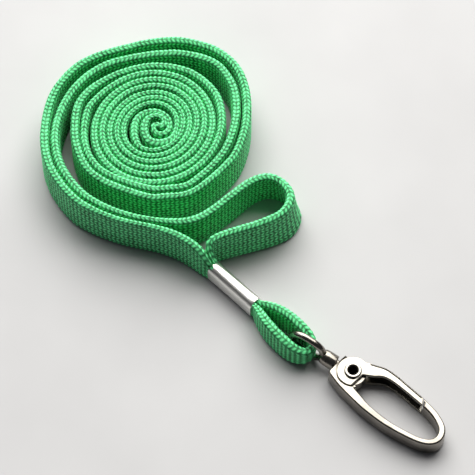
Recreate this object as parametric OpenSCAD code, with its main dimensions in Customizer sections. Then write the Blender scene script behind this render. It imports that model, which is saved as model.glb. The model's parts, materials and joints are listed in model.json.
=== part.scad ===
// Neck lanyard with a swivel trigger hook, laid down with its strap wound up on edge.
// Origin: centre of the wound coil on the surface it lies on. +Z up, +X towards the hook.

/* [Strap] */
// Width of the flat braided strap, which stands on edge
strap_w = 10; // [8.4:0.1:12]
// Thickness of the strap where it lies free
strap_t = 1.8; // [1.5:0.1:2]

/* [Coil] */
// Mean radius of the tight coil at its last strand
coil_r = 17.2; // [14.4:0.1:17.4]
// Mean radial step from one strand of the coil to the next
strand_pitch = 1.46; // [1.2:0.02:1.76]
// How far the turns lie off centre, as a share of their radius
coil_lean = 0.09; // [0:0.01:0.12]

/* [Ferrule] */
// Length of the crimped ferrule
ferrule_len = 12; // [10:0.5:15]
// Width of the ferrule seen from above
ferrule_w = 3.2; // [2.9:0.1:3.9]
// Height of the ferrule
ferrule_h = 5.2; // [4.4:0.1:6.4]
// Sheet thickness of the ferrule
ferrule_wall = 0.4; // [0.3:0.05:0.5]

/* [Swivel eye] */
// Wire diameter of the eye
eye_wire = 1.4; // [1.1:0.1:1.7]
// Outside height of the eye
eye_h = 7; // [5.9:0.1:8.4]
// Straight length between the two round ends of the eye
eye_straight = 1.6; // [1.2:0.1:2.4]
// Diameter of the barrel between the eye and the hook
barrel_d = 3.2; // [2.6:0.1:3.8]
// Length of the barrel
barrel_len = 3.2; // [2.6:0.1:3.8]
// Diameter of the swivel shank
shank_d = 1.8; // [1.5:0.1:1.9]

/* [Hook] */
// Length from the rivet to the tip of the ring
ring_len = 22.3; // [18.5:0.1:27]
// Width over the ring
ring_w = 10; // [9.4:0.1:12]
// Thickness of the hook
hook_t = 4; // [3.9:0.1:4.8]
// Thickness of each cheek of the gate
cheek_t = 0.7; // [0.5:0.05:0.8]
// Radius of the round head of the gate
gate_head_r = 3.2; // [3:0.1:3.2]
// Outside diameter of the rivet barrel
rivet_d = 2.5; // [2:0.1:2.6]

/* [Clearances] */
// Radial clearance of a turning fit
turn_gap = 0.04; // [0.02:0.01:0.08]
// Gap between faces that slide past each other
slide_gap = 0.08; // [0.05:0.01:0.12]
// Gap between soft and hard pieces
soft_gap = 0.05; // [0.02:0.01:0.1]

/* [Hidden] */
$fn = 48;

// ---- places along the line of the hook ----
ferrule_x = 28.5;
ferrule_y = -12.6;
ferrule_z = ferrule_h / 2;
ferrule_end = ferrule_x + ferrule_len;
bight_dx = 14.6;
bight_dy = 0.9;
bight_x = ferrule_end + bight_dx;
bight_y = ferrule_y + bight_dy;

// ---- swivel eye ----
eye_yaw = 15;
eye_pitch = 13;
// centre-line radius of the round ends
eye_r = (eye_h - eye_wire) / 2;
// distance from the neck to the strap's bight, and to the nearer round end's centre
neck_to_bight = 6;
neck_to_arc = barrel_len + eye_r + 0.3;
shank_r = shank_d / 2;
peen_r = shank_r + 0.35;
peen_t = 0.6;
hook_lift = 0.15;
hook_z = hook_lift + hook_t / 2;
neck_x = bight_x + neck_to_bight * cos(eye_yaw) * cos(eye_pitch);
neck_y = bight_y + neck_to_bight * sin(eye_yaw) * cos(eye_pitch);
bight_z = hook_z + neck_to_bight * sin(eye_pitch);

// ---- hook ----
face_gap = 0.1;
head_back = 3.5;
rivet_x = neck_x + face_gap + head_back;
rivet_y = neck_y + 0.4;
rivet_r = rivet_d / 2;
rivet_wall = 0.3;
rivet_flange = 0.4;
rivet_head_t = 0.45;
recess = cheek_t + slide_gap;
tongue_r = 2.6;
wall_back = 0.9;
peen_slot = peen_t + 0.3;
web_t = 0.65;
// shares of the ring's length and width, with the arm's breadth in millimetres
ARM = [[0.06, -0.335, 2.1], [0.2, -0.365, 1.9], [0.34, -0.385, 1.6], [0.54, -0.355, 1.4], [0.74, -0.26, 1.3],
       [0.88, -0.15, 1.3], [0.953, -0.01, 1.35], [0.965, 0.16, 1.4], [0.915, 0.33, 1.4], [0.79, 0.44, 1.4],
       [0.63, 0.475, 1.4]];
GATE = [[0.03, 0.17, 3], [0.12, 0.29, 2.6], [0.2, 0.405, 2], [0.3, 0.455, 1.6], [0.45, 0.47, 1.4],
        [0.66, 0.475, 1.4]];
notch_x = 0.635 * ring_len;
notch_gap = 0.15;
notch_slant = 38;
spring_wire = 0.36;
spring_r = rivet_r + 0.2 + spring_wire / 2;
spring_pocket_r = spring_r + spring_wire / 2 + 0.2;
spring_turns = 2;

// ---- strap: routes of the free stretches, chosen by hand ----
// [x, y, squeeze]: squeeze is 1 where the strap is pressed as thin as in the coil
OUTER_TURN = [[15.8, 0, 1], [15.2, 7, 1], [12.3, 12.7, 0.7], [8.3, 17.1, 0], [4.5, 20.1, 0], [-0.4, 21.8, 0],
              [-6, 21.6, 0], [-12, 18.6, 0], [-16.5, 13.5, 0], [-19.8, 7.4, 0], [-22, 2, 0],
              [-22.7, -3.5, 0], [-20.9, -9.7, 0], [-15.2, -17.2, 0], [-8.7, -21.7, 0], [-1.5, -23.6, 0],
              [4, -23, 0], [8, -21, 0]];
INNER_TURN = [[14.3, 0, 1], [13.3, 6, 1], [10.8, 11, 0.7], [7.6, 14.8, 0], [3.9, 17.8, 0], [-0.6, 19.4, 0],
              [-5, 19, 0], [-10.6, 15.5, 0], [-14.1, 11.4, 0], [-16.8, 7.2, 0], [-18.9, 2, 0],
              [-19.6, -3.6, 0], [-17.7, -10, 0], [-13.6, -15.5, 0], [-8.1, -19.4, 0], [-2, -21.4, 0],
              [3.5, -21, 0], [7.5, -19, 0]];
// [x, y, gather]: gather is 0 at the strap's full width and 1 where it enters the ferrule
FRONT_RUN = [[8, -21, 0], [12, -19, 0], [16, -16.3, 0], [20, -14.5, 0.1], [24, -13.7, 0.5], [27.2, -13.2, 1],
             [ferrule_x, -13.2, 1]];
SIDE_LOOP = [[7.5, -19, 0], [11.5, -17, 0], [14.8, -14.7, 0], [18.4, -12, 0], [20.7, -9, 0], [21.6, -5, 0],
             [21.6, -1, 0], [21.9, 3.5, 0], [23.2, 7.3, 0], [25.8, 8.8, 0], [28.8, 8.5, 0], [31, 6.3, 0],
             [31.4, 3, 0], [30.3, -1, 0], [28.6, -5, 0], [26.9, -8.3, 0], [26.2, -10.6, 0.4],
             [27.2, -12, 1], [ferrule_x, -12, 1]];
// loop round the eye, from the ferrule's end: [dx, dy, ferrule gather, eye gather]
HOOK_LOOP = [[0, 0.6, 1, 0], [1, 0.6, 1, 0], [5, 1.8, 0, 0], [9.5, 2, 0, 0.1], [12.4, 2, 0, 0.8],
             [14.1, 1.7, 0, 1], [14.8, 0.2, 0, 1], [14.2, -1.4, 0, 1], [12.4, -2.3, 0, 0.8],
             [9.5, -2.6, 0, 0.1], [5, -2.2, 0, 0], [1, -0.6, 1, 0], [0, -0.6, 1, 0]];
leg_h = 6.6;
leg_t = 1.9;
layer_t = (ferrule_w - 2 * ferrule_wall) / 2 - 2 * soft_gap;
layer_h = ferrule_h - 2 * ferrule_wall - 4 * soft_gap;
bight_h = eye_h - 2 * eye_wire - 16 * soft_gap;
bight_t = 2;
// angle at which the two outer strands leave the coil, and their thickness there
coil_step = -13;
squeezed_t = strand_pitch - 2 * soft_gap;

// ---- helpers ----
function mixed(a, b, s) = a * (1 - s) + b * s;
function curve_point(a, b, c, d, u) =
    0.5 * (2 * b + (c - a) * u + (2 * a - 5 * b + 4 * c - d) * u * u + (3 * b - a - 3 * c + d) * u * u * u);
// smooth curve through the points p, with n steps between neighbours
function smooth(p, n) = [
    for (i = [0 : len(p) - 2], k = [0 : n - 1])
        curve_point(p[max(i - 1, 0)], p[i], p[i + 1], p[min(i + 2, len(p) - 1)], k / n),
    p[len(p) - 1]];
function heading(p, i) =
    let (a = p[max(i - 1, 0)], b = p[min(i + 1, len(p) - 1)], d = [b[0] - a[0], b[1] - a[1]]) d / norm(d);
// point beside route point i, off to the left by s
function beside(p, i, s) = let (h = heading(p, i)) [p[i][0] - h[1] * s, p[i][1] + h[0] * s];

// flat-oval strap section, 8 sided, upright: thickness t, height h
function strap_section(t, h) =
    let (c = 0.3 * t)
    [[t / 2, c - h / 2], [t / 2, h / 2 - c], [t / 2 - c, h / 2], [c - t / 2, h / 2],
     [-t / 2, h / 2 - c], [-t / 2, c - h / 2], [c - t / 2, -h / 2], [t / 2 - c, -h / 2]];

// strap swept along r = [[x, y, mid height, height, thickness], ...]
module strap_sweep(r) {
    n = len(r);
    pts = [for (i = [0 : n - 1], s = strap_section(r[i][4], r[i][3]))
        concat(beside(r, i, -s[0]), [r[i][2] + s[1]])];
    sides = [for (i = [0 : n - 2], k = [0 : 7])
        let (a = i * 8 + k, b = i * 8 + (k + 1) % 8) [a, b, b + 8, a + 8]];
    tris = [for (q = sides) each [[q[0], q[2], q[1]], [q[0], q[3], q[2]]]];
    caps = [[for (k = [0 : 7]) k], [for (k = [7 : -1 : 0]) (n - 1) * 8 + k]];
    polyhedron(points = pts, faces = concat(tris, caps), convexity = 10);
}
function full_width(p) = [for (q = p)
    [q[0], q[1], strap_w / 2, strap_w, mixed(strap_t, squeezed_t, q[2])]];
function gathered(p) = [for (q = p)
    [q[0], q[1], mixed(strap_w / 2, ferrule_z, q[2]), mixed(strap_w, layer_h, q[2]),
     mixed(strap_t, layer_t, q[2])]];
function looped(p) = [for (q = p) let (f = 1 - q[2] - q[3])
    [ferrule_end + q[0], ferrule_y + q[1], f * leg_h / 2 + q[2] * ferrule_z + q[3] * bight_z,
     f * leg_h + q[2] * layer_h + q[3] * bight_h, f * leg_t + q[2] * layer_t + q[3] * bight_t]];

// ---- strap ----
// outer edge of the coil at angle a, one strand pair further in for every whole turn back
function coil_edge(a) =
    let (r = coil_r + 2 * strand_pitch * (a - coil_step) / 360)
    [r * cos(a) - coil_lean * r * cos(45), r * sin(a) - coil_lean * r * sin(45)];

module strap_coil() {
    color("limegreen")
        linear_extrude(strap_w)
            polygon([for (k = [0 : 4 : 360]) coil_edge(coil_step - 360 + k)]);
}
// first two points of a strand leaving the coil squarely, s of the way across its step
function leaving(s) =
    let (a = coil_edge(coil_step - 360), b = coil_edge(coil_step), d = (b - a) / norm(b - a), m = mixed(a, b, s))
    [[m[0], m[1], 1], [m[0] - d[1], m[1] + d[0], 1]];
module strap_outer_turn() {
    color("limegreen") strap_sweep(full_width(concat(leaving(0.75), OUTER_TURN)));
}
module strap_inner_turn() {
    color("limegreen") strap_sweep(full_width(concat(leaving(0.25), INNER_TURN)));
}
module strap_front_run() { color("limegreen") strap_sweep(gathered(FRONT_RUN)); }
module strap_side_loop() { color("limegreen") strap_sweep(gathered(SIDE_LOOP)); }
module strap_hook_loop() { color("limegreen") strap_sweep(looped(HOOK_LOOP)); }

// upright slot shape: width w, height h, along +X for length l
module upright_slot(w, h, l) {
    translate([0, 0, (w - h) / 2])
        rotate([0, 90, 0]) cylinder(d = w, h = l);
    translate([0, 0, (h - w) / 2])
        rotate([0, 90, 0]) cylinder(d = w, h = l);
    translate([0, -w / 2, (w - h) / 2])
        cube([l, w, h - w]);
}
module strap_in_ferrule() {
    color("limegreen")
        translate([ferrule_x, ferrule_y, ferrule_z])
            upright_slot(ferrule_w - 2 * ferrule_wall - 2 * soft_gap,
                         ferrule_h - 2 * ferrule_wall - 2 * soft_gap, ferrule_len);
}

// ---- crimped ferrule: rolled sheet with its butt seam underneath ----
module crimp_ferrule() {
    seam = 0.12;
    color("gainsboro")
        translate([ferrule_x, ferrule_y, ferrule_z])
            difference() {
                upright_slot(ferrule_w, ferrule_h, ferrule_len);
                translate([-1, 0, 0])
                    upright_slot(ferrule_w - 2 * ferrule_wall, ferrule_h - 2 * ferrule_wall, ferrule_len + 2);
                translate([-1, -seam / 2, -ferrule_h / 2 - 1])
                    cube([ferrule_len + 2, seam, 1 + 1.5 * ferrule_wall]);
            }
}

// ---- swivel eye: oval wire loop, barrel, and a shank peened inside the hook ----
module eye_loop() {
    rotate([90, 0, 0]) {
        translate([-neck_to_arc, 0, 0]) rotate([0, 0, -90])
            rotate_extrude(angle = 180) translate([eye_r, 0]) circle(d = eye_wire, $fn = 24);
        translate([-neck_to_arc - eye_straight, 0, 0]) rotate([0, 0, 90])
            rotate_extrude(angle = 180) translate([eye_r, 0]) circle(d = eye_wire, $fn = 24);
    }
    for (s = [-1, 1])
        translate([-neck_to_arc - eye_straight, 0, s * eye_r])
            rotate([0, 90, 0]) cylinder(d = eye_wire, h = eye_straight, $fn = 24);
}
module swivel_eye() {
    barrel_end = 0.6;
    shank_back = 2;
    shank_len = shank_back + face_gap + wall_back + slide_gap;
    color("silver") translate([neck_x, neck_y, hook_z]) {
        rotate([0, eye_pitch, eye_yaw]) {
            eye_loop();
            translate([-barrel_end - barrel_len, 0, 0])
                rotate([0, 90, 0]) cylinder(d1 = eye_wire + 0.9, d2 = barrel_d, h = 0.7);
            translate([-barrel_end - barrel_len + 0.7, 0, 0])
                rotate([0, 90, 0]) cylinder(d = barrel_d, h = barrel_len - 0.7);
        }
        translate([-shank_back, 0, 0])
            rotate([0, 90, 0]) cylinder(r = shank_r, h = shank_len + 0.1);
        translate([face_gap + wall_back + slide_gap, 0, 0])
            rotate([0, 90, 0]) cylinder(r = peen_r, h = peen_t);
    }
}

// ---- hook ----
function ring_points(p) = [for (q = smooth(p, 6)) [q[0] * ring_len, q[1] * ring_w, q[2]]];
// strip along the route p between two offsets, each a share of the breadth plus a length
module strip(p, s1, d1, s2, d2) {
    n = len(p);
    polygon(concat([for (i = [0 : n - 1]) beside(p, i, s1 * p[i][2] / 2 + d1)],
                   [for (i = [n - 1 : -1 : 0]) beside(p, i, s2 * p[i][2] / 2 + d2)]));
}
// everything past the slanted parting line of gate and nose, shifted by s
module past_notch(s) {
    translate([notch_x + s, 0.475 * ring_w]) rotate(notch_slant)
        translate([0, -ring_len]) square(2 * ring_len);
}
module at_hook() { translate([rivet_x, rivet_y, hook_z]) children(); }

module arm_outline() {
    difference() {
        strip(ring_points(ARM), 1, 0, -1, 0);
        difference() {
            translate([notch_x - 5, 0]) square([5 + ring_len, ring_w]);
            past_notch(notch_gap);
        }
    }
}
module head_outline() {
    head_y = 0.42 * ring_w;
    polygon([[-head_back, 1.5], [-head_back, 0.9 - head_y], [-1.4, 0.25 - head_y], [1, -head_y - 0.05],
             [2.7, -head_y - 0.15], [2.7, -1.8], [0, 1.5]]);
}
module hook_body() {
    color("silver") at_hook() difference() {
        union() {
            translate([0, 0, -hook_t / 2]) linear_extrude(hook_t) arm_outline();
            translate([0, 0, -hook_t / 2]) linear_extrude(hook_t) head_outline();
            translate([0, 0, -hook_t / 2]) cylinder(r = tongue_r, h = hook_t);
        }
        // seats of the gate's cheeks, above and below the tongue
        for (z = [hook_t / 2 - recess, -hook_t / 2 - 1])
            translate([0, 0, z]) cylinder(r = gate_head_r + 2 * slide_gap, h = recess + 1);
        // rivet hole
        translate([0, 0, -hook_t]) cylinder(r = rivet_r + turn_gap, h = 2 * hook_t);
        // shank bore and the slot that holds its peened end
        translate([-head_back - 1, neck_y - rivet_y, 0])
            rotate([0, 90, 0]) cylinder(r = shank_r + turn_gap, h = 1 + wall_back + 0.2);
        translate([-head_back + wall_back, neck_y - rivet_y - peen_r - 0.15, -hook_t])
            cube([peen_slot, 2 * peen_r + 0.3, 2 * hook_t]);
        // pocket for the spring, open towards the gate's channel
        cylinder(r = spring_pocket_r, h = hook_t);
        rotate([0, 0, -20]) cube([tongue_r + 1, spring_pocket_r, hook_t]);
        translate([-1.5, 0.2, 0]) cube([tongue_r + 2.4, tongue_r + 1, hook_t]);
    }
}

module cheek_outline(arm) {
    difference() {
        union() {
            circle(r = gate_head_r);
            strip(arm, 1, 0, -1, 0);
        }
        translate([1.9, -gate_head_r]) square([gate_head_r, gate_head_r + 0.9]);
        past_notch(0);
    }
}
module hook_gate() {
    arm = ring_points(GATE);
    web = [for (p = arm) if (norm([p[0], p[1]]) > tongue_r + 1.1) p];
    color("silver") at_hook() {
        for (z = [-hook_t / 2, hook_t / 2 - cheek_t])
            translate([0, 0, z]) linear_extrude(cheek_t)
                difference() {
                    cheek_outline(arm);
                    circle(r = rivet_r + turn_gap);
                }
        translate([0, 0, -hook_t / 2]) linear_extrude(hook_t)
            difference() {
                strip(web, 1, 0, 1, -web_t);
                past_notch(0);
            }
    }
}

// hollow rivet with a rolled rim on top and a thin set rim below
module hollow_rivet() {
    rim_r = rivet_r + rivet_flange;
    color("gainsboro") at_hook() rotate_extrude()
        difference() {
            union() {
                translate([rivet_r - rivet_wall, -hook_t / 2 - hook_lift])
                    square([rivet_wall, hook_t + hook_lift + rivet_head_t]);
                translate([rivet_r - rivet_wall, hook_t / 2 + slide_gap / 2])
                    square([rivet_flange + rivet_wall - 0.2, rivet_head_t - slide_gap / 2]);
                translate([rim_r - 0.2, hook_t / 2 + (rivet_head_t + slide_gap / 2) / 2])
                    circle(d = rivet_head_t - slide_gap / 2, $fn = 24);
                translate([rivet_r - rivet_wall, -hook_t / 2 - hook_lift])
                    square([rivet_flange + rivet_wall, hook_lift - slide_gap / 2]);
            }
        }
}

// torsion spring round the rivet, with one leg lying in the gate's channel
module gate_spring() {
    spring_z = 0.25 + spring_wire / 2;
    turn_pitch = 0.85 * spring_wire;
    leg_a = 46;
    leg_len = 4.2;
    color("dimgray") at_hook() {
        rotate_extrude()
            for (k = [0 : spring_turns - 1])
                translate([spring_r, spring_z + k * turn_pitch]) circle(d = spring_wire, $fn = 16);
        rotate([0, 0, leg_a])
            translate([0, spring_r, spring_z + (spring_turns - 1) * turn_pitch])
                rotate([0, 90, 0]) cylinder(d = 0.9 * spring_wire, h = leg_len, $fn = 16);
    }
}

strap_coil();
strap_outer_turn();
strap_inner_turn();
strap_front_run();
strap_side_loop();
strap_in_ferrule();
strap_hook_loop();
crimp_ferrule();
swivel_eye();
hook_body();
hook_gate();
hollow_rivet();
gate_spring();
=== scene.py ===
import json
import math

import bmesh
import bpy
from bpy.props import FloatProperty, FloatVectorProperty, IntProperty, PointerProperty
from mathutils import Matrix, Vector, noise


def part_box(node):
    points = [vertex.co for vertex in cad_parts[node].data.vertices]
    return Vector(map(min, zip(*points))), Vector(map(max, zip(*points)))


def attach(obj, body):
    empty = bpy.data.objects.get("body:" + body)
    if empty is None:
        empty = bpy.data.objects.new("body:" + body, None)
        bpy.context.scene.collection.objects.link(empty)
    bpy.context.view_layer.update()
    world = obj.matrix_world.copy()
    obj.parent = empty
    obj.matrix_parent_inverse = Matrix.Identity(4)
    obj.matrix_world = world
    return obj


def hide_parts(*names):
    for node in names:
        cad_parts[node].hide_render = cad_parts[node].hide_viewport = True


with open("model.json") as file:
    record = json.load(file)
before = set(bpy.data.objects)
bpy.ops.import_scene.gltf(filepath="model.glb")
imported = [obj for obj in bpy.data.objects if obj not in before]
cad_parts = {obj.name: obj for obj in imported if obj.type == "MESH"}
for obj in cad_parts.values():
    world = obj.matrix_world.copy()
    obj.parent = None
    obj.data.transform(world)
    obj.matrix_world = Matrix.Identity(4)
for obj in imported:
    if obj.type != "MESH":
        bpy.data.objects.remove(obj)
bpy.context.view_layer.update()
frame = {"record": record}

bl_info = {
    "name": "Lanyard with swivel hook",
    "version": (1, 0, 0),
    "blender": (4, 5, 0),
    "location": "3D View > Sidebar > Lanyard",
    "description": "Builds the braided strap, the ferrule and the swivel trigger hook",
    "category": "Add Mesh",
}

MM = 0.001


# ---- places that come from the frame ----
def joint(name):
    """The frame's joint of that name."""
    for j in frame["record"]["behaviour"]["joints"]:
        if j["name"] == name:
            return j
    raise RuntimeError("the frame has no joint named " + name)


def millimetres(v):
    """A place in metres, in millimetres."""
    return tuple(c / MM for c in v)


BIGHT = millimetres(joint("eye_swing")["pos_m"])
NECK = millimetres(joint("hook_swivel")["pos_m"])
RIVET = millimetres(joint("gate_pivot")["pos_m"])
EYE_YAW = math.atan2(NECK[1] - BIGHT[1], NECK[0] - BIGHT[0])
EYE_PITCH = math.asin((BIGHT[2] - NECK[2]) / math.dist(BIGHT, NECK))
FERRULE = [millimetres(c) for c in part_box("crimp_ferrule")]


def linear(hex_colour):
    """An sRGB hex colour as linear RGBA."""
    parts = [int(hex_colour[i:i + 2], 16) / 255 for i in (1, 3, 5)]
    return tuple(c / 12.92 if c <= 0.04045 else ((c + 0.055) / 1.055) ** 2.4 for c in parts) + (1,)


# ---- settings a user would change ----
class StrapSettings(bpy.types.PropertyGroup):
    width: FloatProperty(
        name="Width", description="Width of the flat braid, which stands on edge",
        default=0.010, unit="LENGTH")
    stitch: FloatProperty(
        name="Stitch", description="Length of one stitch of the braid along the strap",
        default=0.00092, unit="LENGTH")
    stitch_rows: IntProperty(
        name="Stitch rows", description="Columns of stitches round the braid, an even number",
        default=24, min=8)
    relief: FloatProperty(
        name="Relief", description="Height of a stitch above the hollow beside it",
        default=0.00016, unit="LENGTH")
    # painted highlight: the ridge colour is lighter than the dye, standing for the light on the stitch tops
    ridge: FloatVectorProperty(
        name="Ridge", description="Colour on top of the stitches",
        default=linear("#73F9A6")[:3], subtype="COLOR")
    # painted shade: the hollow colour is darker than the dye, standing for the shade between the stitches
    hollow: FloatVectorProperty(
        name="Hollow", description="Colour between the stitches",
        default=linear("#034B20")[:3], subtype="COLOR")


class MetalSettings(bpy.types.PropertyGroup):
    edge_round: FloatProperty(
        name="Edge rounding", description="Rounding of the hook's cast and tumbled edges",
        default=0.0004, unit="LENGTH")
    eye_wire: FloatProperty(
        name="Eye bar", description="Thickness of the bar of the swivel eye",
        default=0.0014, unit="LENGTH")


class StageSettings(bpy.types.PropertyGroup):
    distance: FloatProperty(
        name="Camera distance", description="From the camera to the point it looks at",
        default=0.52, unit="LENGTH")
    azimuth: FloatProperty(
        name="Camera azimuth", description="Turn of the camera round the lanyard",
        default=math.radians(45), subtype="ANGLE")
    elevation: FloatProperty(
        name="Camera elevation", description="Angle at which the camera looks down",
        default=math.radians(60), subtype="ANGLE")
    view_angle: FloatProperty(
        name="View angle", description="Angle of view of the camera",
        default=math.radians(10.543), subtype="ANGLE")


# ---- node helpers ----
def add_node(tree, kind, settings=None, links=None):
    """Adds a node, sets its properties or sockets, and links sockets to what feeds them."""
    made = tree.nodes.new(kind)
    for key, value in (settings or {}).items():
        if isinstance(key, str) and hasattr(made, key):
            setattr(made, key, value)
        else:
            made.inputs[key].default_value = value
    for key, source in (links or {}).items():
        tree.links.new(source, made.inputs[key])
    return made


def new_material(name):
    """An empty node material with its Principled shader."""
    made = bpy.data.materials.new(name)
    made.use_nodes = True
    made.node_tree.nodes.clear()
    shader = add_node(made.node_tree, "ShaderNodeBsdfPrincipled")
    add_node(made.node_tree, "ShaderNodeOutputMaterial", links={"Surface": shader.outputs[0]})
    return made, made.node_tree, shader


def maths(tree, operation, a, b=None):
    """A Math node on sockets or numbers."""
    settings, links = {"operation": operation}, {}
    for slot, value in ((0, a), (1, b)):
        if value is None:
            continue
        if isinstance(value, (int, float)):
            settings[slot] = value
        else:
            links[slot] = value
    return add_node(tree, "ShaderNodeMath", settings, links).outputs[0]


def ramp(tree, factor, stops):
    """A Color Ramp through (position, linear colour) stops."""
    made = add_node(tree, "ShaderNodeValToRGB", links={0: factor})
    elements = made.color_ramp.elements
    while len(elements) < len(stops):
        elements.new(1)
    for element, (position, colour) in zip(elements, stops):
        element.position = position
        element.color = colour
    return made.outputs[0]


# ---- materials ----
def braided_polyester(settings):
    """Braided polyester yarn, dyed green: soft-lit stitches with painted highlight on their tops and painted
    shade in the dark hollows between them, fine filaments along each stitch and a slight sheen from the
    loose fibres."""
    made, tree, shader = new_material("braided polyester, dyed green")
    uv = add_node(tree, "ShaderNodeUVMap", {"uv_map": "braid"}).outputs[0]
    split = add_node(tree, "ShaderNodeSeparateXYZ", links={0: uv})
    # one unit of the map is one stitch along and one column of stitches round
    ridge_line = maths(tree, "COSINE", maths(tree, "MULTIPLY", split.outputs[0], 2 * math.pi))
    column = maths(tree, "ABSOLUTE", maths(tree, "SINE", maths(tree, "MULTIPLY", split.outputs[1], math.pi)))
    # the stitch pattern sets where the painted highlight and the painted shade fall
    stitch = maths(tree, "MULTIPLY", maths(tree, "ADD", ridge_line, 1.15), column)
    # about five bundles of filaments side by side in a stitch
    stretch = add_node(tree, "ShaderNodeMapping", {"Scale": (5.0, 1.2, 1.0)}, {"Vector": uv})
    filament = add_node(tree, "ShaderNodeTexNoise", {"Scale": 1.0, "Detail": 2.0},
                        {"Vector": stretch.outputs[0]})
    place = add_node(tree, "ShaderNodeTexCoord").outputs["Object"]
    uneven = add_node(tree, "ShaderNodeTexNoise", {"Scale": 800.0, "Detail": 3.0}, {"Vector": place})
    broad = add_node(tree, "ShaderNodeTexNoise", {"Scale": 90.0, "Detail": 2.0}, {"Vector": place})
    height = maths(tree, "ADD", maths(tree, "MULTIPLY", stitch, 0.27),
                   maths(tree, "MULTIPLY", filament.outputs["Fac"], 0.34))
    height = maths(tree, "ADD", height, maths(tree, "MULTIPLY", uneven.outputs["Fac"], 0.42))
    height = maths(tree, "ADD", height, maths(tree, "MULTIPLY", broad.outputs["Fac"], 0.12))
    ridge = tuple(settings.ridge) + (1,)
    hollow = tuple(settings.hollow) + (1,)
    middle = tuple(0.42 * r + 0.58 * h for r, h in zip(ridge, hollow))
    # ramp from painted shade in the hollows to painted highlight on the ridges; the noises add random tone
    colour = ramp(tree, height, [(0.38, hollow), (0.62, middle), (0.9, ridge)])
    tree.links.new(colour, shader.inputs["Base Color"])
    bump = add_node(tree, "ShaderNodeBump", {"Strength": 0.7, "Distance": 0.00012}, {"Height": height})
    tree.links.new(bump.outputs[0], shader.inputs["Normal"])
    shader.inputs["Roughness"].default_value = 0.7
    shader.inputs["Specular IOR Level"].default_value = 0.35
    shader.inputs["Sheen Weight"].default_value = 0.05
    shader.inputs["Sheen Roughness"].default_value = 0.4
    shader.inputs["Sheen Tint"].default_value = linear("#A8F0B8")
    return made


def plated_metal(name, hex_colour, roughness, wear, grain_mm):
    """Nickel plate over cast or formed metal: warm grey mirror with slight tumbling waves, fine
    handling scratches and a duller, darker film in places."""
    made, tree, shader = new_material(name)
    place = add_node(tree, "ShaderNodeTexCoord").outputs["Object"]
    film = add_node(tree, "ShaderNodeTexNoise", {"Scale": 260.0, "Detail": 5.0, "Roughness": 0.6},
                    {"Vector": place})
    base = linear(hex_colour)
    dull = tuple(c * (1 - wear) for c in base[:3]) + (1,)
    colour = ramp(tree, film.outputs["Fac"], [(0.35, dull), (0.6, base)])
    tree.links.new(colour, shader.inputs["Base Color"])
    shader.inputs["Metallic"].default_value = 1.0
    scratch = add_node(tree, "ShaderNodeTexNoise", {"Scale": 1 / (grain_mm * MM), "Detail": 3.0},
                       {"Vector": place})
    rough = add_node(tree, "ShaderNodeMapRange", {3: roughness * 0.75, 4: roughness * 1.35},
                     {0: scratch.outputs["Fac"]})
    tree.links.new(rough.outputs[0], shader.inputs["Roughness"])
    bump = add_node(tree, "ShaderNodeBump", {"Strength": 0.12, "Distance": 0.00004},
                    {"Height": scratch.outputs["Fac"]})
    tree.links.new(bump.outputs[0], shader.inputs["Normal"])
    return made


def drawn_ferrule_metal():
    """Nickel-plated rolled steel, satin: a soft broad highlight with fine draw lines along it."""
    made, tree, shader = new_material("satin nickel-plated rolled steel")
    place = add_node(tree, "ShaderNodeTexCoord").outputs["Object"]
    # draw lines about 0.15 mm apart, long in the direction of rolling
    lines = add_node(tree, "ShaderNodeMapping", {"Scale": (120.0, 5200.0, 5200.0)}, {"Vector": place})
    grain = add_node(tree, "ShaderNodeTexNoise", {"Scale": 1.0, "Detail": 2.0},
                     {"Vector": lines.outputs[0]})
    colour = ramp(tree, grain.outputs["Fac"], [(0.3, linear("#D9D8D4")), (0.65, linear("#F1F0EC"))])
    tree.links.new(colour, shader.inputs["Base Color"])
    shader.inputs["Metallic"].default_value = 1.0
    rough = add_node(tree, "ShaderNodeMapRange", {3: 0.3, 4: 0.42}, {0: grain.outputs["Fac"]})
    tree.links.new(rough.outputs[0], shader.inputs["Roughness"])
    bump = add_node(tree, "ShaderNodeBump", {"Strength": 0.15, "Distance": 0.00002},
                    {"Height": grain.outputs["Fac"]})
    tree.links.new(bump.outputs[0], shader.inputs["Normal"])
    return made


def spring_steel():
    """Drawn spring wire: dark grey, half bright."""
    made, tree, shader = new_material("drawn spring steel wire")
    place = add_node(tree, "ShaderNodeTexCoord").outputs["Object"]
    film = add_node(tree, "ShaderNodeTexNoise", {"Scale": 900.0, "Detail": 3.0}, {"Vector": place})
    colour = ramp(tree, film.outputs["Fac"], [(0.3, linear("#5A5A5C")), (0.7, linear("#8C8C90"))])
    tree.links.new(colour, shader.inputs["Base Color"])
    shader.inputs["Metallic"].default_value = 1.0
    shader.inputs["Roughness"].default_value = 0.35
    return made


def painted_shade_bore():
    """Inside of the rivet: painted shade, dull and dark with a faint random mottle, standing for the shade
    down the bore.
    """
    made, tree, shader = new_material("painted shade inside the rivet")
    place = add_node(tree, "ShaderNodeTexCoord").outputs["Object"]
    bore_mottle = add_node(tree, "ShaderNodeTexNoise", {"Scale": 1500.0, "Detail": 3.0}, {"Vector": place})
    # painted shade: near-black browns for the shaded bore
    colour = ramp(tree, bore_mottle.outputs["Fac"], [(0.35, linear("#1E1B17")), (0.65, linear("#3A352D"))])
    tree.links.new(colour, shader.inputs["Base Color"])
    shader.inputs["Metallic"].default_value = 0.6
    shader.inputs["Roughness"].default_value = 0.7
    return made


def painted_board():
    """Matt painted board for the lanyard to lie on."""
    made, tree, shader = new_material("matt painted board")
    place = add_node(tree, "ShaderNodeTexCoord").outputs["Object"]
    mottle = add_node(tree, "ShaderNodeTexNoise", {"Scale": 30.0, "Detail": 3.0}, {"Vector": place})
    colour = ramp(tree, mottle.outputs["Fac"], [(0.3, linear("#B4B4B6")), (0.7, linear("#BBBBBD"))])
    tree.links.new(colour, shader.inputs["Base Color"])
    shader.inputs["Roughness"].default_value = 0.9
    return made


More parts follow.
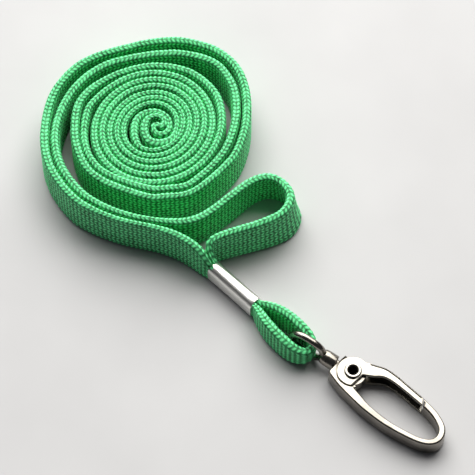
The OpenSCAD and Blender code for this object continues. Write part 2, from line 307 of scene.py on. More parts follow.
# ---- mesh helpers, in millimetres ----
def mesh_piece(name, points, faces, material, body):
    """A new piece from points in millimetres, riding on a body."""
    data = bpy.data.meshes.new(name)
    data.from_pydata([Vector(p) * MM for p in points], [], faces)
    data.validate()
    made = bpy.data.objects.new(name, data)
    bpy.context.collection.objects.link(made)
    data.materials.append(material)
    data.shade_smooth()
    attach(made, body)
    return made


def catmull(a, b, c, d, u):
    """Point between b and c at u."""
    return tuple(
        0.5 * (2 * q + (r - p) * u + (2 * p - 5 * q + 4 * r - s) * u * u
               + (3 * q - p - 3 * r + s) * u ** 3)
        for p, q, r, s in zip(a, b, c, d))


def through(points, steps):
    """Smooth curve through the points, with that many steps between neighbours."""
    last = len(points) - 1
    out = []
    for i in range(last):
        around = (points[max(i - 1, 0)], points[i], points[i + 1], points[min(i + 2, last)])
        out += [catmull(*around, k / steps) for k in range(steps)]
    return out + [tuple(points[-1])]


def evenly(points, step):
    """The same curve with its points a step apart along it, measured in plan."""
    lengths = [0.0]
    for a, b in zip(points, points[1:]):
        lengths.append(lengths[-1] + math.hypot(b[0] - a[0], b[1] - a[1]))
    count = max(2, round(lengths[-1] / step))
    out, at = [], 0
    for k in range(count + 1):
        want = lengths[-1] * k / count
        while at < len(lengths) - 2 and lengths[at + 1] < want:
            at += 1
        span = lengths[at + 1] - lengths[at]
        u = (want - lengths[at]) / span if span else 0.0
        out.append(tuple(p * (1 - u) + q * u for p, q in zip(points[at], points[at + 1])))
    return out, lengths[-1]


# ---- strap: where it runs ----
# [x, y, height of the strap, thickness, height of its lower edge, flare of its lower edge]
# for a strap of the full width
FULL_WIDTH = 10.0
FRONT_RUN = [
    (34.6, -13.15, 4.2, 1.1, 0.5, 0), (31, -13.15, 4.2, 1.1, 0.5, 0), (29, -13.2, 4.6, 1.15, 0.4, 0),
    (27.8, -13.35, 6.8, 1.6, 0.1, 0), (26.2, -13.5, 8.6, 1.8, 0, 0), (24, -13.75, 9.6, 1.8, 0, 0),
    (20.3, -14.6, 9.9, 1.7, 0, 0), (15.8, -16.75, 10, 1.35, 0, 0), (10.7, -19.9, 10, 1.3, 0, 0),
    (4.6, -22.4, 10, 1.5, 0, 0),
]
SIDE_LOOP = [
    (14.8, -15.7, 10, 1.35, 0, 0), (18.7, -12.4, 10, 1.7, 0, 0),
    (20.6, -9.5, 10, 1.8, 0, 0.2), (21.4, -6.2, 10, 1.8, 0, 0.2), (21.6, -2.5, 10, 1.8, 0, 0.1),
    (21.8, 1.4, 10, 1.8, 0, 0.2), (22.2, 4.8, 10, 1.8, 0, 0.5), (23.6, 7.6, 10, 1.8, 0, 0.9),
    (25.7, 8.7, 9.9, 1.8, 0, 1.3), (28.2, 8.6, 9.8, 1.8, 0, 1.6), (30.3, 7.4, 9.8, 1.8, 0, 1.8),
    (31.5, 4.8, 9.8, 1.8, 0, 1.3), (31.2, 1.8, 9.9, 1.8, 0, 0.7), (29.9, -1.8, 9.9, 1.8, 0, 0.3),
    (28, -5.7, 9.9, 1.8, 0, 0.1), (26.6, -8.7, 9.8, 1.8, 0, 0), (26, -10.5, 9.5, 1.7, 0, 0),
    (26.3, -11.5, 8.6, 1.5, 0, 0), (27.2, -12, 7.2, 1.3, 0.2, 0), (28.6, -12.1, 5.2, 1.1, 0.4, 0),
    (30.2, -12.05, 4.2, 1.1, 0.5, 0), (40, -12.05, 4.2, 1.1, 0.5, 0),
]
HOOK_LOOP = [
    (41.3, -12, 4.8, 1.3, 0.4, 0), (43, -11.5, 5.9, 1.8, 0.2, 0), (45.3, -10.9, 6.8, 2, 0, 0),
    (48, -10.6, 7.1, 2.1, 0, 0), (50.8, -10.6, 6.8, 2.1, 0.2, 0), (52.9, -10.65, 5.6, 2, 0.8, 0),
    (54.3, -11, 4.2, 1.9, 1.5, 0), (55.1, -11.7, 3.5, 1.8, 1.75, 0),
    (55.4, -12.8, 4, 1.9, 1.3, 0), (54.9, -13.9, 5, 2, 0.7, 0), (53.4, -14.7, 5.8, 2.1, 0.2, 0),
    (51, -15.1, 6.6, 2.1, 0, 0), (48, -15.05, 6.9, 2.1, 0, 0), (45.2, -14.6, 6.7, 2, 0, 0),
    (43, -13.9, 5.9, 1.8, 0.2, 0), (41.3, -13.3, 4.8, 1.3, 0.4, 0), (40, -13.15, 4.2, 1.1, 0.5, 0),
    (35.2, -13.15, 4.2, 1.1, 0.5, 0),
]
# the loose turns round the coil, about its centre: [angle, radius, thickness]
COIL_CENTRE = (-1.0, -0.4)
OUTER_TURNS = [
    (270, 22.9, 1.75), (250, 22.65, 1.8), (230, 22.1, 1.8), (205, 22, 1.8), (185, 21.75, 1.8),
    (170, 21.1, 1.8), (153, 20.3, 1.8), (138, 20.75, 1.8), (120, 21.9, 1.8), (102, 22.6, 1.8),
    (88, 22.35, 1.8), (75, 21.2, 1.8), (62, 19.9, 1.8), (45, 18.7, 1.75), (25, 17.9, 1.7),
    (8, 17.1, 1.65), (-10, 17.15, 1.6), (-22, 17.3, 1.6), (-36, 16.6, 1.65), (-50, 16.35, 1.7),
    (-90, 16.4, 1.75), (-120, 16.05, 1.75), (-150, 16.2, 1.75), (-165, 16, 1.75), (-180, 15.4, 1.7),
    (-200, 14.85, 1.7), (-225, 14.95, 1.7), (-250, 15.25, 1.7), (-270, 15.15, 1.7),
    (-290, 14.75, 1.7), (-315, 13.85, 1.65), (-338, 13.35, 1.6),
]
INNER_TURNS = [
    (302, 21.3, 1.3), (286, 21, 1.45), (270, 20.95, 1.75), (250, 20.65, 1.8), (230, 20, 1.8),
    (210, 19.2, 1.8), (190, 18.7, 1.8), (170, 18.2, 1.8), (152, 17.5, 1.8), (138, 17.65, 1.8),
    (122, 18.5, 1.8), (108, 19.4, 1.8), (97, 20, 1.8), (88, 19.75, 1.8), (75, 18.9, 1.8),
    (60, 17.5, 1.8), (45, 16.4, 1.7), (25, 15.65, 1.65), (5, 15.2, 1.6), (-12, 15.4, 1.6),
    (-20, 15.6, 1.6), (-32, 15, 1.6), (-50, 14.6, 1.6), (-90, 14.6, 1.6), (-120, 14.35, 1.55),
    (-150, 14, 1.55), (-165, 13.5, 1.5), (-180, 13.1, 1.5),
]
# the tight winding inside them: radius against turns in, and how far it is from round
COIL_RADIUS, COIL_STEP, COIL_EASE = 13.4, 3.45, 0.17
COIL_OVAL, COIL_SLANT, COIL_SHIFT = 0.3, 0.2, 0.1
LAST_INWARD, LAST_OUTWARD = 2.875, 2.6875
# points on each turn of the winding, and how much of the room between two strands one of them fills
PER_TURN, FILLED = 16, 0.93
# the fold in the very middle, about the coil's centre, as the strap runs through it: across and up
# as seen with the hook at the lower right, and thickness
FOLD = [
    (4.1, -2.6, 1.6), (2.4, -3.65, 1.9), (0.6, -3.85, 2.1), (-0.9, -3.2, 1.9), (-1.75, -1.3, 1.8),
    (-1.75, 0.4, 1.8), (-1.15, 1.85, 1.5), (0.2, 2.6, 1.2), (1.4, 2.45, 1.3), (2.3, 1.5, 1.4),
    (2.2, 0.5, 1.6), (1.6, 0, 1.5), (1, 0.35, 1.4), (0.45, 0.8, 1.4), (0.1, 0.2, 1.2),
    (0.15, -0.9, 1.2), (0.9, -1.7, 1.3), (2.2, -1.7, 1.4), (3.1, -0.9, 1.4), (3.4, 0.3, 1.3),
    (3.2, 1.7, 1.3), (2.3, 2.9, 1.35), (0.8, 3.75, 1.45), (-1.1, 3.7, 1.6), (-2.8, 2.7, 1.8),
    (-3.7, 1, 1.8), (-3.85, -0.9, 1.8), (-3.65, -2.6, 1.7), (-3.05, -4.2, 1.5),
]


def about_centre(angle, radius, thick):
    """Place on the route at that angle and radius about the coil's centre."""
    a = math.radians(angle)
    return (COIL_CENTRE[0] + radius * math.cos(a), COIL_CENTRE[1] + radius * math.sin(a),
            FULL_WIDTH, thick, 0, 0)


def coil_point(turns, half_turn):
    """Strand's place in the coil, that many turns in; the other strand lies half a turn on."""
    angle = half_turn - 360 * turns
    a = math.radians(angle)
    r = COIL_RADIUS - COIL_STEP * turns + COIL_EASE * turns * turns
    oval = -COIL_OVAL * math.cos(2 * a) - COIL_SLANT * math.sin(2 * a) + COIL_SHIFT * math.cos(a)
    pitch = (COIL_STEP - 2 * COIL_EASE * turns) / 2
    return about_centre(angle, r + oval * min(1.0, r / 7), FILLED * pitch)


def strap_route():
    """The strap's whole way from inside the ferrule, into the coil, out again and round the eye."""
    inwards = [about_centre(*p) for p in OUTER_TURNS]
    inwards += [coil_point(k / PER_TURN, 0) for k in range(int(PER_TURN * LAST_INWARD) + 1)]
    outwards = [coil_point(k / PER_TURN, 180) for k in range(int(PER_TURN * LAST_OUTWARD), 0, -1)]
    outwards += [about_centre(*p) for p in reversed(INNER_TURNS)]
    fold = []
    for across, up, thick in FOLD:
        fold.append((COIL_CENTRE[0] + (across - up) * math.sqrt(0.5),
                     COIL_CENTRE[1] + (across + up) * math.sqrt(0.5), 9.9, thick, 0, 0))
    points = FRONT_RUN + inwards + fold + outwards + SIDE_LOOP + HOOK_LOOP
    return through(points, 10)


def eased(points, times):
    """The route with its small kinks smoothed out, its ends kept."""
    for _ in range(times):
        points = [points[0]] + [
            tuple((a + 2 * b + c) / 4 for a, b, c in zip(p, q, r))
            for p, q, r in zip(points, points[1:], points[2:])
        ] + [points[-1]]
    return points


def section(columns, height, thick):
    """Flat-oval section, stood on edge: (offset, height, outward offset, outward height) of each column.
    It starts at the bottom, and the columns keep their share of side and edge as the strap is gathered."""
    side, edge = 8.2, math.pi * 0.9
    round_it = 2 * (side + edge)
    r = thick / 2
    straight = max(height - thick, 0.2)
    rise = (height - straight) / 2
    out = []
    for j in range(columns):
        at = round_it * j / columns
        if at < edge / 2 or at > round_it - edge / 2:
            a = -math.pi / 2 + math.pi * (at if at < edge / 2 else at - round_it) / edge
            out.append((r * math.cos(a), rise + rise * math.sin(a), math.cos(a), math.sin(a)))
        elif at < edge / 2 + side:
            out.append((r, rise + straight * (at - edge / 2) / side, 1, 0))
        elif at < 1.5 * edge + side:
            a = math.pi * (at - edge / 2 - side) / edge
            out.append((r * math.cos(a), rise + straight + rise * math.sin(a), math.cos(a), math.sin(a)))
        else:
            out.append((-r, rise + straight * (1 - (at - 1.5 * edge - side) / side), -1, 0))
    return out


def braided_strap(settings, material):
    """The whole strap as one braid, with every stitch raised in the mesh: columns of stitches that
    slant one way and the other by turns, so that they meet in V shapes."""
    columns = 2 * settings.stitch_rows
    relief = settings.relief / 2 / MM
    half = settings.stitch / 2 / MM
    slant = 0.55 * half
    widened = settings.width / MM / FULL_WIDTH
    route, _ = evenly(eased(strap_route(), 6), 0.15)
    route, length = evenly(eased(route, 12), half)
    count = len(route)
    points, faces = [], []
    for i, (x, y, height, thick, foot, flare) in enumerate(route):
        a, b = route[max(i - 1, 0)], route[min(i + 1, count - 1)]
        d = math.hypot(b[0] - a[0], b[1] - a[1])
        ahead = ((b[0] - a[0]) / d, (b[1] - a[1]) / d)
        left = (-ahead[1], ahead[0])
        along = i * half
        # the hand-wound strap isn't quite level or even
        uneven = noise.noise(Vector((along * 0.05, 0.3, 0.7)))
        fine = noise.noise(Vector((along * 0.35, 4.1, 0.2)))
        full = min(1.0, max(0.0, (height - 8) / 2))
        height = widened * (height + full * (0.32 * uneven + 0.1 * fine))
        thick = thick * (1 + 0.05 * fine)
        ridge = i % 2 == 0
        for j, (off, up, out, rise) in enumerate(section(columns, height, thick)):
            if j % 2:
                lift, forward = (relief if ridge else -0.7 * relief), 0
            else:
                lift, forward = (-0.5 if ridge else -1.1) * relief, slant if j % 4 else -slant
            lift += 0.45 * relief * noise.noise(Vector((along * 1.7, j * 0.9, 1.3)))
            forward = 0 if i in (0, count - 1) else forward
            z = foot + up
            shift = off + out * lift + flare * (1 - min(1.0, z / 10)) ** 1.5
            z = max(0.0, z + rise * lift)
            points.append((x + left[0] * shift + ahead[0] * forward,
                           y + left[1] * shift + ahead[1] * forward, z))
    for i in range(count - 1):
        for j in range(columns):
            a, b = i * columns + j, i * columns + (j + 1) % columns
            faces.append((a, a + columns, b + columns, b))
    faces.append(tuple(range(columns)))
    faces.append(tuple(reversed(range((count - 1) * columns, count * columns))))
    strap = mesh_piece("braided_strap", points, faces, material, "lanyard")
    layer = strap.data.uv_layers.new(name="braid")
    for face in strap.data.polygons:
        spread = face.index % columns
        for corner in face.loop_indices:
            v = strap.data.loops[corner].vertex_index
            i, j = divmod(v, columns)
            if spread == columns - 1 and j == 0:
                j = columns
            layer.data[corner].uv = (i / 2, j / 2)
    return strap, length


# ---- metal pieces ----
def lathe(profile, turns=64):
    """Points and faces of a profile [(r, x), ...] turned about the X axis, closed at its ends."""
    points, faces, n = [], [], len(profile)
    for k in range(turns):
        a = 2 * math.pi * k / turns
        points += [(x, r * math.cos(a), r * math.sin(a)) for r, x in profile]
    for k in range(turns):
        for i in range(n):
            a, b = k * n + i, k * n + (i + 1) % n
            c, d = (k + 1) % turns * n + (i + 1) % n, (k + 1) % turns * n + i
            faces.append((a, d, c, b))
    return points, faces


def rounded(corners, radius, steps=4):
    """A closed profile with each corner rounded by that radius or what its sides allow."""
    out, n = [], len(corners)
    for i in range(n):
        p, q, r = (Vector(corners[(i + k) % n]) for k in (-1, 0, 1))
        a, b = p - q, r - q
        cut = min(radius, a.length * 0.45, b.length * 0.45)
        start, end = q + a.normalized() * cut, q + b.normalized() * cut
        for k in range(steps + 1):
            u = k / steps
            out.append(tuple((1 - u) ** 2 * start + 2 * u * (1 - u) * q + u * u * end))
    return out


def moved(points, matrix):
    """The points moved by a matrix."""
    return [tuple(matrix @ Vector(p)) for p in points]


def tube(path, across, up, sides=20):
    """Bar of oval section along a closed path in the XZ plane."""
    points, faces, n = [], [], len(path)
    for i, (x, z) in enumerate(path):
        a, b = path[(i - 1) % n], path[(i + 1) % n]
        t = Vector((b[0] - a[0], b[1] - a[1])).normalized()
        for k in range(sides):
            w = 2 * math.pi * k / sides
            s = up / 2 * math.cos(w)
            points.append((x - t.y * s, across / 2 * math.sin(w), z + t.x * s))
    for i in range(n):
        for k in range(sides):
            a, b = i * sides + k, i * sides + (k + 1) % sides
            c, d = (i + 1) % n * sides + (k + 1) % sides, (i + 1) % n * sides + k
            faces.append((a, b, c, d))
    return points, faces


def joined(parts):
    """Several (points, faces) as one."""
    points, faces = [], []
    for p, f in parts:
        faces += [tuple(v + len(points) for v in face) for face in f]
        points += p
    return points, faces


def fix_normals(piece):
    """Turns every closed shell's faces outwards."""
    work = bmesh.new()
    work.from_mesh(piece.data)
    bmesh.ops.recalc_face_normals(work, faces=work.faces)
    work.to_mesh(piece.data)
    work.free()


def plate(name, outlines, low, high, rounding):
    """A plate between two heights, its edges rounded, in millimetres: an outline inside another is a
    hole."""
    curve = bpy.data.curves.new(name, "CURVE")
    curve.dimensions = "2D"
    curve.fill_mode = "BOTH"
    for outline in outlines:
        spline = curve.splines.new("POLY")
        spline.points.add(len(outline) - 1)
        for point, (x, y) in zip(spline.points, outline):
            point.co = (x, y, 0, 1)
        spline.use_cyclic_u = True
    curve.extrude = (high - low) / 2 - rounding
    curve.bevel_depth = rounding
    curve.offset = -rounding
    curve.bevel_resolution = 4
    holder = bpy.data.objects.new(name, curve)
    bpy.context.collection.objects.link(holder)
    data = bpy.data.meshes.new_from_object(holder.evaluated_get(bpy.context.evaluated_depsgraph_get()))
    bpy.data.objects.remove(holder)
    work = bmesh.new()
    work.from_mesh(data)
    bmesh.ops.remove_doubles(work, verts=work.verts, dist=0.0005)
    bmesh.ops.translate(work, verts=work.verts, vec=(0, 0, (low + high) / 2))
    work.to_mesh(data)
    work.free()
    return data


def ferrule(material):
    """The rolled ferrule with softly pressed ends; its seam is underneath."""
    (x0, y0, z0), (x1, y1, z1) = FERRULE
    cy, cz, w, h, wall = (y0 + y1) / 2, (z0 + z1) / 2, y1 - y0, z1 - z0, 0.4
    across = 72

    def ring(x, half_w, half_h):
        out = []
        for k in range(across):
            # the seam is a narrow gap at the bottom
            a = -math.pi / 2 + math.radians(2.5) + math.radians(355) * k / (across - 1)
            flat = half_h - half_w
            z = half_w * math.sin(a) + (flat if math.sin(a) > 0 else -flat)
            out.append((x, cy + half_w * math.cos(a), cz + z))
        return out

    profile = [(0, wall * 0.35), (0.03, wall * 0.1), (0.14, 0), (0.9, -0.02), (1.6, 0.03), (6, 0.05),
               (10.4, 0.03), (11.1, -0.02), (11.86, 0), (11.97, wall * 0.1), (12, wall * 0.35)]
    length = x1 - x0
    outer = [(x0 + length * s / 12, w / 2 - d, h / 2 - d) for s, d in profile]
    inner = [(x0 + length * s / 12, w / 2 - max(wall, d) + (0.08 if s in (0, 12) else 0),
              h / 2 - max(wall, d) + (0.08 if s in (0, 12) else 0)) for s, d in reversed(profile)]
    rows = [ring(*r) for r in outer + inner]
    points = [p for row in rows for p in row]
    faces, n = [], len(rows)
    for i in range(n):
        for k in range(across - 1):
            a, b = i * across + k, i * across + k + 1
            faces.append((a, b, (i + 1) % n * across + k + 1, (i + 1) % n * across + k))
    for k in (0, across - 1):
        for i in range(len(outer) - 1):
            faces.append((i * across + k, (i + 1) * across + k, (n - 2 - i) * across + k,
                          (n - 1 - i) * across + k))
    piece = mesh_piece("crimped_ferrule", points, faces, material, "lanyard")
    fix_normals(piece)
    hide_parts("crimp_ferrule")


def swivel_eye(settings, material):
    """The swivel's eye: an oval bar, its collar and the shank that turns in the hook."""
    wire = settings.eye_wire / MM
    r, straight = 2.8, 1.6
    near = -(3.2 + r + 0.3)
    path = [(near + r * math.cos(a), r * math.sin(a))
            for a in (math.radians(d) for d in range(-90, 91, 6))]
    path += [(near - straight + r * math.cos(a), r * math.sin(a))
             for a in (math.radians(d) for d in range(90, 271, 6))]
    bar = tube(path, wire * 1.05, wire)
    collar = lathe(rounded([(0.01, -3.9), (1.15, -3.9), (1.5, -3.4), (1.6, -2.6), (1.6, -0.6),
                            (0.01, -0.6)], 0.22))
    tilt = (Matrix.Translation(NECK) @ Matrix.Rotation(EYE_YAW, 4, "Z")
            @ Matrix.Rotation(EYE_PITCH, 4, "Y"))
    shank = lathe([(0.01, -2.0), (SHANK_R, -2.0), (SHANK_R, 1.0), (0.01, 1.0)])
    peen = lathe(rounded([(0.01, 1.08), (1.25, 1.08), (1.25, 1.68), (0.01, 1.68)], 0.15))
    points, faces = joined([(moved(bar[0], tilt), bar[1]), (moved(collar[0], tilt), collar[1]),
                            (moved(shank[0], Matrix.Translation(NECK)), shank[1]),
                            (moved(peen[0], Matrix.Translation(NECK)), peen[1])])
    piece = mesh_piece("cast_swivel_eye", points, faces, material, "eye")
    fix_normals(piece)
    piece.data.set_sharp_from_angle(angle=math.radians(50))
    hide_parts("swivel_eye")


# shares of the ring's length and width, and the bar's breadth in millimetres, as in the frame
RING_LEN, RING_W, HOOK_T = 22.3, 10.0, 4.0
ARM = [(0.06, -0.335, 2.1), (0.2, -0.365, 1.9), (0.34, -0.385, 1.6), (0.54, -0.355, 1.4),
       (0.74, -0.26, 1.3), (0.88, -0.15, 1.3), (0.953, -0.01, 1.35), (0.965, 0.16, 1.4),
       (0.915, 0.33, 1.4), (0.79, 0.44, 1.4), (0.63, 0.475, 1.4)]
GATE = [(0.03, 0.17, 3), (0.12, 0.29, 2.6), (0.2, 0.405, 2), (0.3, 0.455, 1.6), (0.45, 0.47, 1.4),
        (0.66, 0.475, 1.4)]
NOTCH_X, NOTCH_SLANT = 0.635 * RING_LEN, math.radians(38)
# the gate's round heads, the body's head behind the rivet, the seats cut in it and its knuckle
HEAD_R, HEAD_BACK, RECESS, SEAT_GAP, KNUCKLE_R = 3.2, 3.5, 0.78, 0.26, 2.6
# sheet of the gate: its cheeks, the web that joins them and the rounding of their edges
CHEEK_T, WEB_T, SHEET_ROUND = 0.7, 0.65, 0.2
RIVET_HOLE_R, POCKET_R, SHANK_BORE_R, SHANK_R = 1.29, 2.0, 0.95, 0.88


def ring_line(points):
    """Centre line of a bar of the ring, about the rivet: (x, y, breadth)."""
    return [(x * RING_LEN, y * RING_W, b) for x, y, b in through(points, 8)]


def beside(line, i, share):
    """Point off to the left of the line by a share of its breadth."""
    a, b = line[max(i - 1, 0)], line[min(i + 1, len(line) - 1)]
    d = math.hypot(b[0] - a[0], b[1] - a[1])
    off = share * line[i][2] / 2
    return (line[i][0] - (b[1] - a[1]) / d * off, line[i][1] + (b[0] - a[0]) / d * off)


def before_notch(point, shift):
    """True on the gate's side of the slanted parting line."""
    x, y = point[0] - NOTCH_X - shift, point[1] - 0.475 * RING_W
    return x * math.cos(NOTCH_SLANT) + y * math.sin(NOTCH_SLANT) < 0


def at_parting(y, shift):
    """Point on the parting line at that y."""
    return (NOTCH_X + shift - (y - 0.475 * RING_W) * math.tan(NOTCH_SLANT), y)


def cut(cutter_points, cutter_faces, piece, keep_name):
    """Cuts a closed shape, in millimetres, out of a piece."""
    data = bpy.data.meshes.new(keep_name)
    data.from_pydata([Vector(p) * MM for p in cutter_points], [], cutter_faces)
    tool = bpy.data.objects.new(keep_name, data)
    bpy.context.collection.objects.link(tool)
    fix_normals(tool)
    change = piece.modifiers.new(keep_name, "BOOLEAN")
    change.object = tool
    change.solver = "EXACT"
    done = bpy.data.meshes.new_from_object(
        piece.evaluated_get(bpy.context.evaluated_depsgraph_get()))
    piece.modifiers.clear()
    materials = list(piece.data.materials)
    piece.data = done
    piece.data.materials.clear()
    for m in materials:
        piece.data.materials.append(m)
    bpy.data.objects.remove(tool)


def upright_cylinder(x, y, r, low, high, sides=96):
    """Closed upright cylinder, in millimetres."""
    ring = [(x + r * math.cos(2 * math.pi * k / sides), y + r * math.sin(2 * math.pi * k / sides))
            for k in range(sides)]
    points = [(a, b, low) for a, b in ring] + [(a, b, high) for a, b in ring]
    faces = [(k, (k + 1) % sides, sides + (k + 1) % sides, sides + k) for k in range(sides)]
    faces += [tuple(reversed(range(sides))), tuple(range(sides, 2 * sides))]
    return points, faces


def block(low, high):
    """Closed box between two corners, in millimetres."""
    points = [(x, y, z) for x in (low[0], high[0]) for y in (low[1], high[1]) for z in (low[2], high[2])]
    faces = [(0, 1, 3, 2), (4, 6, 7, 5), (0, 4, 5, 1), (2, 3, 7, 6), (0, 2, 6, 4), (1, 5, 7, 3)]
    return points, faces


def piece_from(data, name, material, body, origin):
    """A piece from a mesh in millimetres about an origin, also in millimetres."""
    data.transform(Matrix.Scale(MM, 4) @ Matrix.Translation(origin))
    data.name = name
    data.materials.clear()
    data.materials.append(material)
    made = bpy.data.objects.new(name, data)
    bpy.context.collection.objects.link(made)
    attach(made, body)
    return made


def hook_body(settings, material):
    """The die-cast body: ring arm and head in one, with rounded edges, cut for gate and swivel."""
    arm = ring_line(ARM)
    outer = [beside(arm, i, -1) for i in range(len(arm))]
    inner = [beside(arm, i, 1) for i in range(len(arm))]
    nose_gap = 0.15
    outer = [p for p in outer if p[1] < 0 or not before_notch(p, nose_gap)]
    inner = [p for p in inner if p[1] < 0 or not before_notch(p, nose_gap)]
    outer_y, inner_y = outer[-1][1], inner[-1][1]
    head_y = 0.42 * RING_W
    knuckle = [(KNUCKLE_R * math.cos(math.radians(d)), KNUCKLE_R * math.sin(math.radians(d)))
               for d in range(-38, 146, 6)]
    head = [(-HEAD_BACK, 1.5), (-HEAD_BACK, -2.9), (-HEAD_BACK + 0.25, -3.5), (-2.4, -3.75),
            (-1.4, 0.2 - head_y), (0.2, -0.1 - head_y)]
    outline = (head + outer[2:] + [at_parting(outer_y, nose_gap), at_parting(inner_y, nose_gap)]
               + list(reversed(inner[4:])) + [(2.9, -2.1)] + knuckle)
    data = plate("hook body", [outline], -HOOK_T / 2, HOOK_T / 2, settings.edge_round / MM)
    body = piece_from(data, "cast_hook_body", material, "hook", RIVET)
    rx, ry, rz = RIVET
    for low, high in ((HOOK_T / 2 - RECESS, 5), (-5, RECESS - HOOK_T / 2)):
        cut(*upright_cylinder(rx, ry, HEAD_R + SEAT_GAP, rz + low, rz + high), body, "seat")
    cut(*upright_cylinder(rx, ry, POCKET_R, rz, rz + 3), body, "pocket")
    cut(*upright_cylinder(rx, ry, RIVET_HOLE_R, rz - 3, rz + 3), body, "rivet hole")
    cut(*block((rx - 2.6, NECK[1] - 1.4, -1), (rx - 1.7, NECK[1] + 1.4, 6)), body, "peen slot")
    bore = lathe([(0.01, -1.0), (SHANK_BORE_R, -1.0), (SHANK_BORE_R, 1.2), (0.01, 1.2)])
    cut(moved(bore[0], Matrix.Translation(NECK)), bore[1], body, "shank bore")
    body.data.shade_smooth()
    body.data.set_sharp_from_angle(angle=math.radians(35))
    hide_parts("hook_body")


def hook_gate(settings, material):
    """The folded gate: two cheeks with round heads, joined by the web along the outside."""
    bar = ring_line(GATE)
    left = [beside(bar, i, 1) for i in range(len(bar))]
    right = [beside(bar, i, -1) for i in range(len(bar))]
    left = [p for p in left if before_notch(p, 0)]
    right = [p for p in right if before_notch(p, 0)]
    left.append(at_parting(left[-1][1], 0))
    right.append(at_parting(right[-1][1], 0))
    start = next(i for i, p in enumerate(left) if math.hypot(*p) > HEAD_R)
    stop = next(i for i, p in enumerate(right) if p[0] > 1.9 and p[1] > 1.2)
    a0 = math.degrees(math.atan2(left[start][1], left[start][0]))
    heads = [(HEAD_R * math.cos(math.radians(d)), HEAD_R * math.sin(math.radians(d)))
             for d in range(int(a0) + 2, 360 - 53, 4)]
    flush = [(1.9, -2.4), (1.9, 0.75), (2.3, 1.0)]
    outline = heads + flush + right[stop:] + list(reversed(left[start:]))
    hole = [(RIVET_HOLE_R * math.cos(math.radians(d)), -RIVET_HOLE_R * math.sin(math.radians(d)))
            for d in range(0, 360, 5)]
    cheeks = [plate("cheek", [outline, hole], z, z + CHEEK_T, SHEET_ROUND)
              for z in (-HOOK_T / 2, HOOK_T / 2 - CHEEK_T)]
    far = next(i for i, p in enumerate(left) if math.hypot(*p) > 3.75)
    side = left[far:]
    inside = []
    for i, p in enumerate(side):
        a, b = side[max(i - 1, 0)], side[min(i + 1, len(side) - 1)]
        d = math.hypot(b[0] - a[0], b[1] - a[1])
        inside.append((p[0] + (b[1] - a[1]) / d * WEB_T, p[1] - (b[0] - a[0]) / d * WEB_T))
    web = plate("web", [side + list(reversed(inside))], -HOOK_T / 2, HOOK_T / 2, SHEET_ROUND)
    work = bmesh.new()
    for data in cheeks + [web]:
        work.from_mesh(data)
    whole = bpy.data.meshes.new("folded gate")
    work.to_mesh(whole)
    work.free()
    gate = piece_from(whole, "folded_gate", material, "gate", RIVET)
    gate.data.shade_smooth()
    gate.data.set_sharp_from_angle(angle=math.radians(35))
    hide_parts("hook_gate")


def hollow_rivet(material):
    """The hollow rivet with its rolled rim above and its set rim below, its bore given a dark material as
    painted shade.
    """
    bore_r, bore_top = 1.02, 2.3
    profile = [(0.95, -2.15), (1.65, -2.15), (1.65, -2.06), (1.27, -2.04), (1.25, 2.03), (1.55, 2.05),
               (1.66, 2.16), (1.68, 2.28), (1.6, 2.4), (1.42, 2.46), (1.2, 2.44), (1.02, 2.34),
               (0.94, 2.2), (0.93, 1.9)]
    points, faces = lathe(profile)
    points = [(RIVET[0] + y, RIVET[1] + z, RIVET[2] + x) for x, y, z in points]
    piece = mesh_piece("rolled_hollow_rivet", points, faces, material, "hook")
    fix_normals(piece)
    piece.data.set_sharp_from_angle(angle=math.radians(50))
    # painted shade: the faces inside the bore, below its top, get the dark material
    piece.data.materials.append(painted_shade_bore())
    for face in piece.data.polygons:
        x, y, z = face.center / MM
        inside = math.hypot(x - RIVET[0], y - RIVET[1]) < bore_r and face.normal.z < 0.6
        face.material_index = 1 if inside and z < RIVET[2] + bore_top else 0
    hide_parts("hollow_rivet")


# ---- operators: one for each piece or group of like pieces, and one for the stage ----
STRAP_NODES = ("strap_coil", "strap_outer_turn", "strap_inner_turn", "strap_front_run",
               "strap_side_loop", "strap_in_ferrule", "strap_hook_loop")


class LANYARD_OT_strap(bpy.types.Operator):
    """Make the braided strap along its whole way"""

    bl_idname = "lanyard.strap"
    bl_label = "Braided strap"

    def execute(self, context):
        settings = context.scene.lanyard_strap
        strap, length = braided_strap(settings, braided_polyester(settings))
        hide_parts(*STRAP_NODES)
        return {"FINISHED"}


class LANYARD_OT_ferrule(bpy.types.Operator):
    """Make the crimped ferrule"""

    bl_idname = "lanyard.ferrule"
    bl_label = "Crimped ferrule"

    def execute(self, context):
        ferrule(drawn_ferrule_metal())
        return {"FINISHED"}


class LANYARD_OT_swivel(bpy.types.Operator):
    """Make the swivel eye"""

    bl_idname = "lanyard.swivel"
    bl_label = "Swivel eye"

    def execute(self, context):
        swivel_eye(context.scene.lanyard_metal,
                   plated_metal("nickel-plated zinc, tumbled", "#938E86", 0.22, 0.3, 0.3))
        return {"FINISHED"}


class LANYARD_OT_hook(bpy.types.Operator):
    """Make the hook's body, gate and rivet, and finish the spring"""

    bl_idname = "lanyard.hook"
    bl_label = "Trigger hook"

    def execute(self, context):
        settings = context.scene.lanyard_metal
        hook_body(settings, plated_metal("nickel-plated zinc, die cast", "#938E86", 0.22, 0.3, 0.4))
        hook_gate(settings, plated_metal("nickel-plated folded steel", "#96928A", 0.2, 0.25, 0.4))
        hollow_rivet(plated_metal("nickel-plated rolled rivet", "#A5A199", 0.17, 0.2, 0.3))
        spring = bpy.data.objects["gate_spring"]
        spring.data.materials.clear()
        spring.data.materials.append(spring_steel())
        return {"FINISHED"}


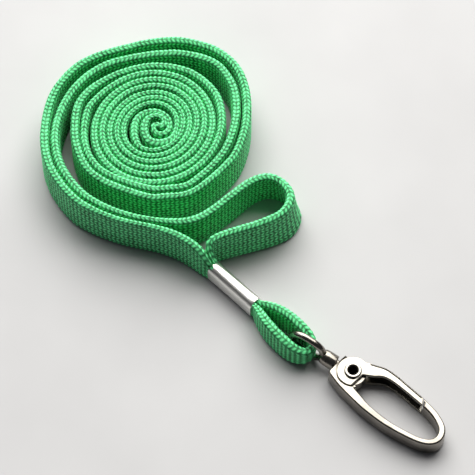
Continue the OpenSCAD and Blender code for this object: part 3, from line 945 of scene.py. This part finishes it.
class LANYARD_OT_stage(bpy.types.Operator):
    """Make the floor, the lights and the camera"""

    bl_idname = "lanyard.stage"
    bl_label = "Stage"

    def execute(self, context):
        settings = context.scene.lanyard_stage
        floor_data = bpy.data.meshes.new("board")
        size = 3.0
        floor_data.from_pydata([(-size, -size, 0), (size, -size, 0), (size, size, 0), (-size, size, 0)],
                               [], [(0, 1, 2, 3)])
        floor = bpy.data.objects.new("board", floor_data)
        floor.data.materials.append(painted_board())
        context.collection.objects.link(floor)

        target = Vector((0.0256, -0.0028, 0.0))
        flat = math.cos(settings.elevation)
        towards = Vector((math.sin(settings.azimuth) * flat, -math.cos(settings.azimuth) * flat,
                          math.sin(settings.elevation)))
        eye = bpy.data.cameras.new("camera")
        eye.sensor_width = 36
        eye.angle = settings.view_angle
        eye.clip_start = 0.01
        camera = bpy.data.objects.new("camera", eye)
        camera.location = target + towards * settings.distance
        camera.rotation_euler = (-towards).to_track_quat("-Z", "Y").to_euler()
        context.collection.objects.link(camera)
        context.scene.camera = camera

        # a large soft light from beyond the coil, and a much weaker one from the left
        centre = Vector((0.03, -0.005, 0.0))
        for name, turn, height, distance, side, power, colour in (
                ("window", 222, 48, 0.75, 1.0, 18.5, "#FFFDF8"),
                ("left fill", 290, 40, 0.8, 0.4, 0.45, "#F4F8FF")):
            lamp = bpy.data.lights.new(name, "AREA")
            lamp.size = side
            lamp.energy = power
            lamp.color = linear(colour)[:3]
            a, e = math.radians(turn), math.radians(height)
            way = Vector((math.sin(a) * math.cos(e), -math.cos(a) * math.cos(e), math.sin(e)))
            holder = bpy.data.objects.new(name, lamp)
            holder.location = centre + way * distance
            holder.rotation_euler = (-way).to_track_quat("-Z", "Y").to_euler()
            context.collection.objects.link(holder)

        world = bpy.data.worlds.new("studio")
        context.scene.world = world
        world.use_nodes = True
        world.node_tree.nodes["Background"].inputs[0].default_value = linear("#DDE1E6")
        world.node_tree.nodes["Background"].inputs[1].default_value = 0.07
        context.scene.view_settings.view_transform = "Standard"
        return {"FINISHED"}


class LANYARD_PT_panel(bpy.types.Panel):
    """Lists the settings and the steps"""

    bl_idname = "LANYARD_PT_panel"
    bl_label = "Lanyard"
    bl_space_type = "VIEW_3D"
    bl_region_type = "UI"
    bl_category = "Lanyard"

    def draw(self, context):
        for group in GROUPS:
            box = self.layout.box()
            settings = getattr(context.scene, group)
            for name in settings.bl_rna.properties.keys():
                if name not in ("rna_type", "name"):
                    box.prop(settings, name)
        for step in STEPS:
            self.layout.operator(step.bl_idname)


GROUPS = {"lanyard_strap": StrapSettings, "lanyard_metal": MetalSettings, "lanyard_stage": StageSettings}
STEPS = (LANYARD_OT_stage, LANYARD_OT_strap, LANYARD_OT_ferrule, LANYARD_OT_swivel, LANYARD_OT_hook)
CLASSES = tuple(GROUPS.values()) + STEPS + (LANYARD_PT_panel,)


def register():
    for c in CLASSES:
        bpy.utils.register_class(c)
    for name, group in GROUPS.items():
        setattr(bpy.types.Scene, name, PointerProperty(type=group))


def unregister():
    for name in GROUPS:
        delattr(bpy.types.Scene, name)
    for c in reversed(CLASSES):
        bpy.utils.unregister_class(c)


def main():
    register()
    bpy.ops.lanyard.stage()
    bpy.ops.lanyard.strap()
    bpy.ops.lanyard.ferrule()
    bpy.ops.lanyard.swivel()
    bpy.ops.lanyard.hook()


if __name__ == "__main__":
    main()
